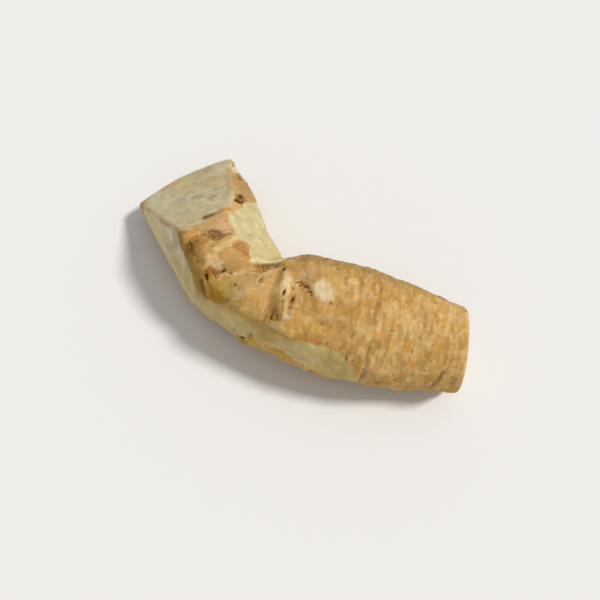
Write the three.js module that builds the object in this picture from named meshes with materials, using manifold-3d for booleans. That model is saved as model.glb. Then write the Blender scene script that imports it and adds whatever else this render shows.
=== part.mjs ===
// A trimmed piece of horseradish root, lying on its side. A short crown arm and a long main arm meet at a
// bend of about 45 degrees, with a fold between them, and corky skin covers what the knife has not pared to
// flat faces of pale flesh. The root is one solid, pale flesh right through.
// Millimetres, +Z up. X runs along the main arm, and the origin is under the middle of the root, on the
// plane it rests on.
import * as THREE from "three";
import { mergeVertices } from "three/addons/utils/BufferGeometryUtils.js";
import Module from "manifold-3d";

const wasm = await Module();
wasm.setup();

// Stations along an arm: centre x, y, z, half width, half height.
const CROWN_ARM = [
  [-65.3, 35.0, 18.8, 25.0, 19.8],
  [-57.6, 25.8, 18.8, 24.6, 19.8],
  [-48.9, 16.2, 18.8, 24.8, 19.7],
  [-43.6, 8.9, 18.8, 23.9, 19.5],
  [-36.6, -0.9, 18.4, 22.7, 19.1],
  [-29.3, -9.2, 17.9, 22.4, 18.5],
  [-22.0, -14.8, 17.0, 21.9, 17.4],
  [-13.3, -18.9, 14.5, 19.0, 13.0],
  [-2.3, -21.6, 13.0, 13.0, 10.5],
];
const MAIN_ARM = [
  [-32.9, -24.8, 22.0, 1.0, 1.0],
  [-31.5, -24.8, 22.0, 6.0, 6.0],
  [-27.8, -24.9, 21.5, 10.5, 11.5],
  [-22.3, -25.2, 21.0, 13.4, 15.6],
  [-15.3, -24.6, 20.5, 16.4, 18.0],
  [-6.8, -23.1, 20.1, 19.4, 19.5],
  [-3.8, -22.7, 20.0, 20.7, 20.4],
  [-0.5, -22.3, 20.0, 21.7, 20.1],
  [3.7, -21.9, 20.0, 22.9, 20.6],
  [8.7, -21.7, 20.0, 23.4, 20.9],
  [15.7, -22.0, 20.0, 23.9, 21.0],
  [22.7, -22.5, 19.9, 24.4, 21.0],
  [38.7, -23.0, 19.3, 23.3, 20.4],
  [57.7, -23.2, 18.1, 20.2, 18.9],
  [75.7, -23.3, 16.8, 17.7, 17.4],
  [84.7, -23.3, 16.3, 16.9, 16.9],
];
const SIDES = 40;
const CROWN_STEP = 3.4; // spacing of the rings along the crown arm
const MAIN_STEP = 2.6; // spacing of the rings along the main arm
const FULLNESS = 2.15; // shape of the oval section: 2 is an ellipse, more is squarer
const LUMPS = 0.5; // rise and fall of the skin's slow swellings
const LOOK_AHEAD = 0.05; // share of an arm's line over which a ring's own direction is taken

// The stub of a side root on the outside of the bend: centre and half sizes.
const STUB = { at: [-15.9, -37.4, 14.0], size: [3.6, 3.0, 3.4] };

// Hollows in the fold between the arms, as oval scoops: centre, half sizes, and turn about Z in degrees.
const HOLLOWS = [
  { name: "inside of the bend", at: [-13.0, -12.0, 35.0], size: [6.5, 3.0, 5.0], turn: 26 },
  { name: "outside of the bend", at: [-28.6, -28.2, 36.0], size: [6.0, 6.0, 6.0], turn: 0 },
];

// The knife cuts: a point on each face and the way the face looks. The first list is made on the crown arm
// alone, before the arms join.
const CROWN_CUTS = [
  { name: "bright slice off the shoulder", at: [-27.5, 10.5, 30.0], out: [0.51, 0.415, 0.755] },
  { name: "shoulder by the crown end", at: [-36.1, 22.4, 28.6], out: [0.37, 0.56, 0.74] },
];
const CUTS = [
  { name: "rest face", at: [0, 0, 0], out: [0, 0, -1] },
  { name: "crown end, outer half", at: [-68.6, 22.9, 13], out: [-0.813, 0.583, 0.03] },
  { name: "crown end, inner half", at: [-51.8, 40.4, 13], out: [-0.643, 0.766, 0.03] },
  { name: "slanted crown face", at: [-41.3, 2.9, 35.2], out: [-0.43, 0.39, 0.814] },
  { name: "outer wall of crown arm", at: [-58.3, -6.6, 12], out: [-0.73, -0.632, 0.25] },
  { name: "outer wall of the bend", at: [-31.8, -30.6, 12], out: [-0.46, -0.888, 0.05] },
  { name: "wall under the fold", at: [-22.8, -35.8, 12], out: [-0.45, -0.88, 0.17] },
  { name: "outer wall of main arm", at: [2.5, -42.2, 26.0], out: [-0.21, -0.89, 0.4] },
  { name: "tail end", at: [75.7, -22.6, 0], out: [0.985, 0.05, 0.12] },
];

const REACH = 200; // size of the block that a cut takes away
const UP = new THREE.Vector3(0, 0, 1);

function solidOf(geometry) {
  geometry.deleteAttribute("normal");
  geometry.deleteAttribute("uv");
  const merged = mergeVertices(geometry, 1e-4);
  return new wasm.Manifold(
    new wasm.Mesh({
      numProp: 3,
      vertProperties: merged.attributes.position.array,
      triVerts: new Uint32Array(merged.index.array),
    }),
  );
}

// A column of the stations as a smooth curve over 0 to 1.
function columnOf(stations, column) {
  const points = stations.map((s, i) => new THREE.Vector3(i, s[column], 0));
  return new THREE.CatmullRomCurve3(points);
}

function bent(value) {
  return Math.sign(value) * Math.abs(value) ** (2 / FULLNESS);
}

// The skin's slow swellings, as a height above the plain oval.
function lumpAt(p) {
  const a = Math.sin(p.x * 0.17 + p.z * 0.12 + 1.3) * Math.sin(p.y * 0.15 - p.z * 0.1 + 0.4);
  const b = Math.sin(p.x * 0.29 - p.y * 0.21 + 2.1) * Math.sin(p.z * 0.25 + p.x * 0.11);
  return LUMPS * (a + 0.6 * b);
}

// A closed tube with oval sections around the stations' line.
function armSolid(stations, step) {
  const line = new THREE.CatmullRomCurve3(stations.map((s) => new THREE.Vector3(s[0], s[1], s[2])));
  const widths = columnOf(stations, 3);
  const heights = columnOf(stations, 4);
  const rings = Math.round(line.getLength() / step);
  const position = [];
  const index = [];
  for (let i = 0; i <= rings; i++) {
    const t = line.getUtoTmapping(i / rings);
    const centre = line.getPoint(t);
    const ahead = line.getPoint(Math.min(1, t + LOOK_AHEAD));
    const along = ahead.sub(line.getPoint(Math.max(0, t - LOOK_AHEAD))).normalize();
    const side = new THREE.Vector3().crossVectors(along, UP).normalize();
    const over = new THREE.Vector3().crossVectors(side, along).normalize();
    const wide = widths.getPoint(t).y;
    const tall = heights.getPoint(t).y;
    for (let j = 0; j < SIDES; j++) {
      const angle = (2 * Math.PI * j) / SIDES;
      const spoke = new THREE.Vector3()
        .addScaledVector(side, wide * bent(Math.cos(angle)))
        .addScaledVector(over, tall * bent(Math.sin(angle)));
      const p = centre.clone().add(spoke);
      p.addScaledVector(spoke.normalize(), lumpAt(p) * Math.min(1, wide / 12));
      position.push(p.x, p.y, p.z);
    }
  }
  for (let i = 0; i < rings; i++) {
    for (let j = 0; j < SIDES; j++) {
      const a = i * SIDES + j;
      const b = i * SIDES + ((j + 1) % SIDES);
      index.push(a, a + SIDES, b, b, a + SIDES, b + SIDES);
    }
  }
  for (const ring of [0, rings]) {
    const first = ring * SIDES;
    const middle = position.length / 3;
    const c = line.getPoint(ring ? 1 : 0);
    position.push(c.x, c.y, c.z);
    for (let j = 0; j < SIDES; j++) {
      const a = first + j;
      const b = first + ((j + 1) % SIDES);
      index.push(...(ring ? [b, a, middle] : [a, b, middle]));
    }
  }
  const geometry = new THREE.BufferGeometry();
  geometry.setAttribute("position", new THREE.Float32BufferAttribute(position, 3));
  geometry.setIndex(index);
  return solidOf(geometry);
}

// The block that a cut takes away.
function knife({ at, out }) {
  const block = new THREE.BoxGeometry(REACH, REACH, REACH);
  block.translate(0, 0, REACH / 2);
  const turn = new THREE.Quaternion().setFromUnitVectors(UP, new THREE.Vector3(...out).normalize());
  block.applyQuaternion(turn);
  block.translate(...at);
  return solidOf(block);
}

function ovalSolid({ at, size, turn = 0 }) {
  const ball = new THREE.SphereGeometry(1, 18, 12);
  ball.scale(...size);
  ball.rotateZ(THREE.MathUtils.degToRad(turn));
  ball.translate(...at);
  return solidOf(ball);
}

function pared(solid, cuts) {
  return cuts.reduce((left, cut) => left.subtract(knife(cut)), solid);
}

const crownArm = pared(armSolid(CROWN_ARM, CROWN_STEP), CROWN_CUTS);
const mainArm = armSolid(MAIN_ARM, MAIN_STEP);
let solid = pared(crownArm.add(mainArm), CUTS).add(ovalSolid(STUB));
for (const hollow of HOLLOWS) solid = solid.subtract(ovalSolid(hollow));

const mesh = solid.getMesh();
const geometry = new THREE.BufferGeometry();
geometry.setAttribute("position", new THREE.BufferAttribute(mesh.vertProperties, 3));
geometry.setIndex(new THREE.BufferAttribute(mesh.triVerts, 1));

const root = new THREE.Mesh(
  geometry,
  new THREE.MeshStandardMaterial({ color: 0xc39b5f, roughness: 0.7, metalness: 0 }),
);
root.name = "horseradish_root";

const group = new THREE.Group();
group.add(root);
export default group;
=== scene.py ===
"""A bent piece of horseradish root: cut across at both ends, pared down its outer side, with
tan corky skin over the top and the back. Metres, +Z up. The surface is worked in millimetres."""

import itertools

import bpy
import numpy as np
from mathutils import Matrix, Vector
from mathutils.kdtree import KDTree


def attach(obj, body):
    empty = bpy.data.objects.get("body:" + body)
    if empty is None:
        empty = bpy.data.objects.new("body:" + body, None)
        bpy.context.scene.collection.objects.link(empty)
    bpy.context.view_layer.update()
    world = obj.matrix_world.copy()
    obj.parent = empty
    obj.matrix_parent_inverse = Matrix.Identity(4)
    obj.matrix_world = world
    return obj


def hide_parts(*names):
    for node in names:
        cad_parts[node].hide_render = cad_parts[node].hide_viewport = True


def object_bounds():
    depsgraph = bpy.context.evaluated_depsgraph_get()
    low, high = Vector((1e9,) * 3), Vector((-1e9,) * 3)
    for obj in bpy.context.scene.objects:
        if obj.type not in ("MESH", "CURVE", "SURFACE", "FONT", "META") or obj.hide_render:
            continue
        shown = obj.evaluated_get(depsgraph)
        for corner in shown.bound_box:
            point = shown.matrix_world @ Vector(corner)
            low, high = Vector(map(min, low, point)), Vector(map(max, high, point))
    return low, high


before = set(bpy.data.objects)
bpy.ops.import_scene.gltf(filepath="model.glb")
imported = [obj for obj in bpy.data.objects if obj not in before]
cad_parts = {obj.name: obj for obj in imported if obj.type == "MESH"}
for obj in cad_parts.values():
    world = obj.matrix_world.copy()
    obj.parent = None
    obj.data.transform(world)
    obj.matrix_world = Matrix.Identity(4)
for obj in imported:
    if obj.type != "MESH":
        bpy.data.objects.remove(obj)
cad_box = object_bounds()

MM = 0.001
SEED = 11
FACE_SIZE = 0.56  # millimetres, the side of the surface's small faces
SMOOTHING = 30  # rounds of it over the whole surface
EDGE_ROUNDING = 2  # how many faces in from a cut's edge the rounding starts

# --- The root's own lines, in millimetres, as the solid part has them ---

# The middle of the root, from the crown round the bend to the tail.
MIDDLE = [
    (-80, 55, 18.8), (-57.6, 25.8, 18.8), (-48.9, 16.2, 18.8), (-43.6, 8.9, 18.8),
    (-36.6, -0.9, 18.4), (-29.3, -9.2, 17.9), (-22, -16.8, 18), (-13, -21.5, 19),
    (-3.8, -22.7, 20), (8.7, -21.7, 20), (38.7, -23, 19.3), (57.7, -23.2, 18.1),
    (90, -23.3, 16.3),
]

# The knife's flat cuts: a point of each, and the way it faces.
CUTS = {
    "crown_outer": ((-68.6, 22.9, 13), (-0.813, 0.583, 0.03)),
    "crown_inner": ((-51.8, 40.4, 13), (-0.643, 0.766, 0.03)),
    "crown_slant": ((-41.3, 2.9, 35.2), (-0.43, 0.39, 0.814)),
    "wall_crown": ((-58.3, -6.6, 12), (-0.73, -0.632, 0.25)),
    "wall_bend": ((-31.8, -30.6, 12), (-0.46, -0.888, 0.05)),
    "wall_fold": ((-22.8, -35.8, 12), (-0.45, -0.88, 0.17)),
    "wall_main": ((2.5, -42.2, 26), (-0.21, -0.89, 0.4)),
    "slice": ((-27.5, 10.5, 30), (0.51, 0.415, 0.755)),
    "shoulder": ((-36.1, 22.4, 28.6), (0.37, 0.56, 0.74)),
    "tail": ((75.7, -22.6, 0), (0.985, 0.05, 0.12)),
    "rest": ((0, 0, 0), (0, 0, -1)),
}
WALLS = ["wall_crown", "wall_bend", "wall_fold", "wall_main"]
CROWN_ENDS = ["crown_outer", "crown_inner"]
CUT_ACROSS = CROWN_ENDS + ["crown_slant", "tail"]


def srgb(red, green, blue):
    """A colour written 0 to 255 as it looks, as linear light."""
    c = np.array([red, green, blue]) / 255
    return np.where(c <= 0.04045, c / 12.92, ((c + 0.055) / 1.055) ** 2.4)


# --- The surface: even small faces over the whole solid ---


def placed(name, data):
    """A new object in the scene."""
    made = bpy.data.objects.new(name, data)
    bpy.context.scene.collection.objects.link(made)
    return made


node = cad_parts["horseradish_root"]
source = placed("source", node.data.copy())
even = source.modifiers.new("even", "REMESH")
even.mode = "VOXEL"
even.voxel_size = FACE_SIZE * MM
shaped = source.evaluated_get(bpy.context.evaluated_depsgraph_get())
mesh = bpy.data.meshes.new_from_object(shaped)
mesh.name = "root_piece"
bpy.data.objects.remove(source)

count = len(mesh.vertices)
P = np.empty(count * 3)
mesh.vertices.foreach_get("co", P)
P = P.reshape(-1, 3) / MM
corners = np.empty(len(mesh.loops), np.int64)
mesh.loops.foreach_get("vertex_index", corners)
quads = corners.reshape(-1, 4)
edges = np.empty(len(mesh.edges) * 2, np.int64)
mesh.edges.foreach_get("vertices", edges)
HEADS = np.concatenate([edges[0::2], edges[1::2]])
TAILS = np.concatenate([edges[1::2], edges[0::2]])
DEGREE = np.bincount(HEADS, minlength=count)


def spread(values):
    """The mean of each point's neighbours."""
    if values.ndim == 1:
        return np.bincount(HEADS, weights=values[TAILS], minlength=count) / DEGREE
    return np.stack([spread(values[:, k]) for k in range(values.shape[1])], 1)


def blurred(values, rounds):
    for _ in range(rounds):
        values = 0.5 * values + 0.5 * spread(values)
    return values


def normals_of(points):
    a, b, c, d = (points[quads[:, k]] for k in range(4))
    across = np.cross(c - a, d - b)
    total = np.zeros_like(points)
    for k in range(3):
        weights = np.repeat(across[:, k], 4)
        total[:, k] = np.bincount(quads.ravel(), weights=weights, minlength=count)
    return total / np.linalg.norm(total, axis=1)[:, None]


def unit(v):
    v = np.array(v, float)
    return v / np.linalg.norm(v)


# A point is on a cut if it lies this near its plane, in millimetres, and faces nearly its way.
FLAT_WITHIN = 0.14
FACING_WITHIN = 0.965  # the cosine of the angle between them
N = normals_of(P)
FACING = {name: unit(out) for name, (at, out) in CUTS.items()}
on = {}
for name, (at, out) in CUTS.items():
    off = (P - np.array(at)) @ FACING[name]
    on[name] = (np.abs(off) < FLAT_WITHIN) & (N @ FACING[name] > FACING_WITHIN)

# The skin is smoothed freely. A cut is smoothed only along itself, so that it stays flat, but
# near its edge it gives way, and the edge comes out rounded.
held = np.zeros_like(P)
for name in CUTS:
    if name != "shoulder":
        inner = on[name].astype(float)
        for _ in range(0 if name == "rest" else EDGE_ROUNDING):
            inner = (spread(inner) > 0.999) * inner
        held[inner > 0] = FACING[name]
for _ in range(SMOOTHING):
    move = 0.5 * (spread(P) - P)
    move -= held * (move * held).sum(1)[:, None]
    P += move
N = normals_of(P)

# --- Noise and masks ---

SLOPES = np.array([v for v in itertools.product((-1, 0, 1), repeat=3) if np.abs(v).sum() == 2])


def noise(points, seed):
    """Smooth noise from about -1 to 1, one swell to each unit of length."""
    cell = np.floor(points).astype(np.int64)
    inside = points - cell
    ease = inside**3 * (inside * (inside * 6 - 15) + 10)
    total = np.zeros(len(points))
    for corner in map(np.array, itertools.product((0, 1), repeat=3)):
        at = cell + corner
        h = at[:, 0] * 374761393 + at[:, 1] * 668265263 + at[:, 2] * 1103515245
        h = (h + (seed + SEED) * 2654435761) & 0xFFFFFFFF
        h = ((h ^ (h >> 13)) * 1274126177) & 0xFFFFFFFF
        h ^= h >> 16
        slope = SLOPES[h % len(SLOPES)]
        weight = np.prod(np.where(corner == 1, ease, 1 - ease), axis=1)
        total += weight * (slope * (inside - corner)).sum(1)
    return total


def swell(points, size, seed, octaves=2):
    """Noise whose largest swells are size millimetres long. size may differ along each axis."""
    scale = 1 / np.broadcast_to(np.array(size, float), (3,))
    total = np.zeros(len(points))
    for k in range(octaves):
        total += noise(points * scale * 2**k, seed + 17 * k) / 2**k
    return total


def step(low, high, x):
    """0 before low, 1 past high, smooth between. low may be the larger of the two."""
    t = np.clip((x - low) / (high - low), 0, 1)
    return t * t * (3 - 2 * t)


def clouds(low, high, *field):
    """Clouds with soft edges, where a field of noise is past high."""
    return step(low, high, swell(*field))


# Each point's place in the root if it were straight: how far along, how far across, how high.
line = np.array(MIDDLE)
starts, ends = line[:-1, :2], line[1:, :2]
lengths = np.linalg.norm(ends - starts, axis=1)
before = np.concatenate([[0], np.cumsum(lengths)[:-1]])
best = np.full(count, np.inf)
along = np.zeros(count)
beside = np.zeros(count)
for k in range(len(starts)):
    way = (ends[k] - starts[k]) / lengths[k]
    rel = P[:, :2] - starts[k]
    t = np.clip(rel @ way, 0, lengths[k])
    gap = rel - t[:, None] * way
    distance = np.linalg.norm(gap, axis=1)
    closer = distance < best
    best = np.where(closer, distance, best)
    along = np.where(closer, before[k] + t, along)
    side = way[0] * gap[:, 1] - way[1] * gap[:, 0]
    beside = np.where(closer, np.sign(side) * distance, beside)
along = blurred(along, 60)
beside = blurred(beside, 20)
G = np.stack([along, beside, P[:, 2]], 1)

# Edges of patches wander by this much, so that none is a clean oval.
WANDER = np.stack([swell(P, 4.5, 100 + k, 3) for k in range(3)], 1)
WANDER_FINE = np.stack([swell(P, 1.6, 110 + k) for k in range(3)], 1)
Q = P + 1.1 * WANDER + 0.45 * WANDER_FINE  # for patches of colour
R = P + 0.35 * WANDER + 0.3 * WANDER_FINE  # for small marks


def surface(x, y):
    """The height of the top of the root at x, y."""
    near = np.hypot(P[:, 0] - x, P[:, 1] - y) < 0.9
    return P[near, 2].max() if near.any() else 30


def oval(at, size, turn=0, soft=0.35, reach=7, points=None):
    """1 in the middle of an oval seen from above, 0 outside. soft is the share that fades."""
    points = Q if points is None else points
    x, y, z = at if len(at) > 2 else (*at, surface(*at))
    a = np.radians(turn)
    dx, dy = points[:, 0] - x, points[:, 1] - y
    u = (dx * np.cos(a) + dy * np.sin(a)) / (size[0] / 2)
    v = (dy * np.cos(a) - dx * np.sin(a)) / (size[1] / 2)
    w = (points[:, 2] - z) / reach
    r = np.sqrt(u * u + v * v + w * w)
    return step(1 + soft, 1 - soft, r)


def trail(path, width, soft=0.5, reach=6, points=None):
    """1 along a line seen from above, 0 beside it. Each stop is x, y or x, y, z."""
    points = R if points is None else points
    stops = np.array([p if len(p) > 2 else (*p, surface(*p)) for p in path], float)
    closest = np.full(count, np.inf)
    for a, b in zip(stops, stops[1:]):
        flat = (b - a)[:2]
        rel = points[:, :2] - a[:2]
        t = np.clip(rel @ flat / max(flat @ flat, 1e-9), 0, 1)
        gap = rel - t[:, None] * flat
        height = (points[:, 2] - (a[2] + t * (b[2] - a[2]))) / reach
        r = np.hypot(np.linalg.norm(gap, axis=1) / (width / 2), height)
        closest = np.minimum(closest, r)
    return step(1 + soft, 1 - soft, closest)


def area(outline, soft=0.8, low=0, points=None):
    """1 inside an outline seen from above, fading to 0 over soft millimetres outside it."""
    points = Q if points is None else points
    ring = np.array(outline, float)
    inside = np.zeros(count, bool)
    closest = np.full(count, np.inf)
    for a, b in zip(ring, np.roll(ring, -1, axis=0)):
        edge = b - a
        rel = points[:, :2] - a
        t = np.clip(rel @ edge / (edge @ edge), 0, 1)
        closest = np.minimum(closest, np.linalg.norm(rel - t[:, None] * edge, axis=1))
        crosses = (a[1] > points[:, 1]) != (b[1] > points[:, 1])
        slope = (points[:, 1] - a[1]) / (edge[1] if abs(edge[1]) > 1e-9 else 1e-9)
        inside ^= crosses & (points[:, 0] < a[0] + slope * edge[0])
    signed = np.where(inside, closest, -closest)
    return step(-soft, soft, signed) * step(low - 1.5, low + 1.5, P[:, 2])


def near_edge_of(names):
    """For points on these cuts, the distance in from the cut's edge. 0 elsewhere."""
    flat = np.any([on[name] for name in names], axis=0)
    outer = np.bincount(HEADS, weights=(~flat)[TAILS], minlength=count) > 0
    rim = np.flatnonzero(flat & outer)
    tree = KDTree(len(rim))
    for k, index in enumerate(rim):
        tree.insert(P[index], k)
    tree.balance()
    distance = np.zeros(count)
    for index in np.flatnonzero(flat):
        distance[index] = tree.find(P[index])[2]
    return distance


# The pared wall reaches up to this height along the root, and skin covers what is above it.
WALL_TOPS = [
    (-54, 40), (-49.5, 29.5), (-44.7, 28.4), (-41.8, 26.7), (-40.4, 23.5), (-36.4, 21.6),
    (-33, 24.5), (-30, 26), (-24, 29.5), (-18, 32.6), (-13, 33.3), (-8.6, 32.6),
    (-1.7, 33.6), (4.5, 32.8), (9.9, 33.6), (16, 34), (22, 33), (34, 27),
]
# Below this height on the tail arm the knife has left the skin on.
STRIP_TOPS = [(-15, 24.3), (2, 24), (8, 22.4), (13, 19.6), (20, 15), (30, 11)]


def share_on(names, rounds=3):
    flat = np.any([on[name] for name in names], axis=0)
    return blurred(flat.astype(float), rounds)


walls = share_on(WALLS, 5)
streak = swell(G, (26, 3.2, 3.2), 12, 3)
wall_top = np.interp(P[:, 0], *np.array(WALL_TOPS).T) + 0.9 * WANDER[:, 2] + 1.2 * streak
flesh_walls = walls * step(wall_top + 1, wall_top - 1, P[:, 2])
strip_top = np.interp(P[:, 0], *np.array(STRIP_TOPS).T) + WANDER[:, 0] + 1.2 * streak
flesh_walls *= 1 - step(-15.5, -13, P[:, 0]) * step(strip_top + 1, strip_top - 1, P[:, 2])
flesh_across = share_on(CUT_ACROSS, 6)
in_slant = near_edge_of(["crown_slant"])
in_ends = near_edge_of(CROWN_ENDS)
in_tail = near_edge_of(["tail"])

# --- The worn parts of the shape ---


def moved(mask, way):
    """Shifts the surface by way, in millimetres, where the mask is 1."""
    global P
    P = P + mask[:, None] * np.array(way, float)


def worn(mask, rounds):
    """Wears the surface smooth where the mask is 1."""
    global P
    P = P + mask[:, None] * (blurred(P, rounds) - P)


# The outside of the bend is a soft shallow hollow, and the trimmed side root hardly stands out.
worn(oval((-28.4, -27.4, 31), (18, 13), -12, soft=0.5, reach=10, points=P), 140)
worn(oval((-16.2, -37.8, 17), (15, 9), soft=0.5, reach=9, points=P), 60)
# The crown end is drawn out a little, down the slope of the slanted face, to a sharp far edge.
CROWN_WAY = (-0.73, 0.68)
reach_out = np.clip((P[:, :2] @ np.array(CROWN_WAY) - 50) / 13.5, 0, 1)
slant_at, slant_out = np.array(CUTS["crown_slant"][0]), FACING["crown_slant"]
slant_height = slant_at[2] - (P[:, :2] - slant_at[:2]) @ slant_out[:2] / slant_out[2]
near_slant = np.clip(P[:, 2] / slant_height, 0, 1)
inner_corner = step(32, 44, P[:, 1])
DRAWN_OUT = 1.75
moved(reach_out * (1 - inner_corner), (DRAWN_OUT * CROWN_WAY[0], 0, 0))
moved(reach_out * (1 - 0.5 * inner_corner), (0, DRAWN_OUT * CROWN_WAY[1], 0))
moved(reach_out * near_slant * (1 - inner_corner), (0, 0, -0.7 * DRAWN_OUT))
moved(oval((-42.8, 45.4, 14), (12, 10), soft=0.9, reach=13, points=P), (1.6, 0.3, 0.6))
# The far edge bows out a little more between its corners.
BOWED_OUT = 1
bow = reach_out * step(9, 22, P[:, 1]) * step(47, 43, P[:, 1])
moved(bow, (BOWED_OUT * CROWN_WAY[0], BOWED_OUT * CROWN_WAY[1], 0))
moved(bow * near_slant, (0, 0, -0.35 * BOWED_OUT))
N = normals_of(P)
X, Y, Z = P.T
HALFWAY = 0.5 * (P + Q)  # for patches whose edges wander less

# --- Relief, in millimetres out from the smooth surface ---

height = np.zeros(count)
dark = np.zeros(count)  # how much of a hole's or scar's dark lining shows


def pit(at, long, short, turn, depth, lining, rim=0):
    """A small hollow with a dark lining, and a low rim round it. turn is the long way's."""
    global height, dark
    mask = oval(at, (long, short), turn, soft=0.55, points=R)
    if rim:
        wide = oval(at, (long * 1.9, short * 1.9), turn, soft=0.35, points=R)
        height += rim * (wide - mask).clip(0)
    height -= depth * mask
    dark = np.maximum(dark, lining * mask)


def crease(path, width, depth, lining=0.6, soft=0.7):
    global height, dark
    mask = trail(path, width, soft)
    height -= depth * mask
    dark = np.maximum(dark, lining * mask)


def ridge(path, width, rise, soft=0.8):
    global height
    height += rise * trail(path, width, soft)


skin = 1 - np.clip(flesh_walls + flesh_across, 0, 1)
bare = share_on(["slice"])
rough_skin = skin * (1 - 0.85 * bare) * (1 - 0.7 * walls)
tail_arm = step(-2, 6, X)
# The lobe that laps over the bend is smoother than the rest.
rough_skin *= 1 - 0.6 * oval((-19, -25, 36), (26, 22), -15, soft=0.4, reach=16, points=P)

# Growth: slow lumps, a few wrinkles round the tail arm, and corky grain.
wrinkle_field = clouds(-0.2, 0.6, P, 14, 1) * (0.25 + 0.75 * tail_arm)
folds = 1 - np.abs(swell(G, (3, 11, 11), 2))
height += rough_skin * 0.42 * swell(P, 8, 5)
height -= 0.9 * oval((-2.6, -4.9, 32), (9, 7), soft=0.8)
height += 0.5 * oval((4.6, -2.2, 31), (6, 5), soft=0.8)
height -= rough_skin * (0.04 + 0.24 * wrinkle_field) * folds.clip(0, 1) ** 7
height += rough_skin * (0.17 * swell(P, 2.2, 4) + 0.2 * swell(P, 4.2, 11, 1))
unseen = np.clip(step(0.35, -0.1, N[:, 2]) + 0.8 * step(20, 27, X), 0, 1)
height += rough_skin * unseen * 0.16 * swell(G, (1.5, 4.5, 4.5), 13)
height += rough_skin * step(18, 32, X) * 0.5 * swell(P, 15, 14, 1)

# Growth rings: shallow grooves that run part of the way round the tail arm.
RINGS = [(4, 1.3, 0.3), (14, 1.6, 0.3), (24.5, 1.8, 0.45), (33, 1.3, 0.35), (41, 2, 0.5),
         (52.5, 1.5, 0.4), (63, 1.8, 0.45)]  # place along x, width, depth
grooves = np.zeros(count)
for k, (x, width, depth) in enumerate(RINGS):
    off = X - x - 1.5 * swell(P, (40, 10, 10), 50 + k)
    part = clouds(-0.15, 0.3, P, (60, 16, 16), 60 + k, 1) * unseen * rough_skin
    groove = part * step(1, 0, np.abs(off) / width)
    height -= depth * groove
    height += 0.4 * depth * part * step(1, 0, np.abs(np.abs(off) - 1.7 * width) / width)
    grooves = np.maximum(grooves, groove)

# The knife's faint waves and drag lines on the cuts.
height += flesh_walls * (0.12 * swell(G, (22, 3, 3), 6) + 0.12 * swell(P, 9, 7, 1))
height += flesh_across * (0.05 * swell(P, (3, 9, 9), 8) + 0.1 * swell(P, 6, 9))
height += bare * skin * 0.12 * swell(P, 5, 10)

# The fold: the tail arm's root end laps over the crown arm, with a hollow at its inner end that is
# sunk and painted dark as shade.
UNDER_FOLD = [(-18.6, -12.6), (-16.5, -11.5), (-13.4, -10.2), (-10.3, -9.5), (-8, -9),
              (-9.4, -12.2), (-11.4, -15.2), (-13.6, -17.4), (-15.6, -15.4)]
under_fold = area(UNDER_FOLD, soft=0.35, low=24, points=R)
FOLD_LINE = [(-31.5, -20.4), (-28.7, -19.4), (-25.6, -18.6), (-22.4, -16.8), (-19.3, -16.4),
             (-16.4, -17.2), (-14.4, -18)]
LOBE_RIM = [(-27.2, -20.9), (-25, -19.9), (-22.5, -18.2), (-19.6, -17.4), (-16.6, -18.1),
            (-14, -18.9), (-11.2, -15.8)]
crease(FOLD_LINE, 1.2, 0.3, 0.3)
ridge(LOBE_RIM, 1.7, 0.42)
RIDGE_LINE = [(-33.8, -11.2), (-31.4, -9.6), (-29.8, -7.8), (-28, -5.6), (-26.2, -4)]
ridge(RIDGE_LINE, 2.2, 0.3, soft=0.9)

# Rings round the tail arm, next to the bend.
RING_ONE = [(-6.4, -13), (-7.2, -16.4), (-7.3, -20.9), (-7.5, -26), (-7.4, -30.1), (-8.2, -34)]
RING_TWO = [(0.3, -24.4), (0.3, -27.5), (-0.1, -30.4), (-0.4, -34.2)]
CREST = [(-4.7, -14.6), (-4.7, -17.2), (-4.5, -21), (-3.2, -23.6), (-1.9, -26.6), (-1.5, -31),
         (-1.3, -34)]
crease(RING_ONE, 3, 0.42, lining=0, soft=0.9)
crease(RING_TWO, 1.8, 0.35, lining=0.12)
ridge(CREST[:4], 3.2, 0.32, soft=0.9)
ridge(CREST[3:], 1.5, 0.3, soft=0.9)
crease([(6.3, -8.5), (6.6, -11), (6.9, -15), (6.4, -17.5)], 2.4, 0.3, lining=0, soft=0.9)

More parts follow.
